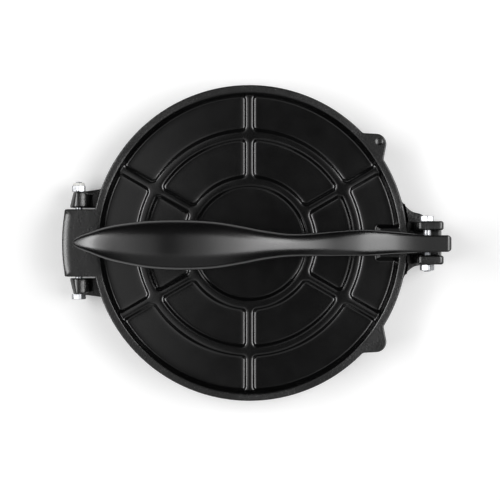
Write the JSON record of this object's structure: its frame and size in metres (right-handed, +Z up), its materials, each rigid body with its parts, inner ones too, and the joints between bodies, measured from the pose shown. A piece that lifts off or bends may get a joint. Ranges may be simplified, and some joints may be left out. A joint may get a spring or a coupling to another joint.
{
  "type": "tortilla press",
  "caption": "Hand tortilla press: two hinged round cast plates, the upper one ribbed, closed by a cast lever that pivots in two front lugs and bears on a pad.",
  "frame": {"origin": "on the axis of the round plates, at the underside that stands on the table", "axes": "+X from the plate hinge towards the lever pivot, +Y to the side, +Z up; the press is closed"},
  "size_m": [0.2076, 0.17, 0.069],
  "materials": {
    "plate_coating": "black baked coating over sand-cast iron, fine grain, low satin",
    "lever_coating": "black baked coating over ground iron, smooth satin",
    "zinc_steel": "bright zinc plate",
    "nylon": "natural nylon"
  },
  "bodies": {
    "base": {"base_plate": "plate_coating", "hinge_bolt": "zinc_steel", "hinge_lock_nut": "zinc_steel", "hinge_nut_collar": "nylon", "lever_bolt": "zinc_steel", "lever_nut": "zinc_steel"},
    "upper_plate": {"top_plate": "plate_coating"},
    "lever": {"lever": "lever_coating"}
  },
  "joints": [
    {"name": "lever_swing", "type": "hinge", "parent": "base", "child": "lever", "pos_m": [0.0942, 0, 0.032], "axis": [0, 1, 0], "range_deg": [0, 165]},
    {"name": "plate_hinge", "type": "hinge", "parent": "base", "child": "upper_plate", "pos_m": [-0.0925, 0, 0.01015], "axis": [0, -1, 0], "range_deg": [0, 110]}
  ],
  "couplings": [
    {"joint": "plate_hinge", "follows": "lever_swing", "ratio": 0.12}
  ]
}
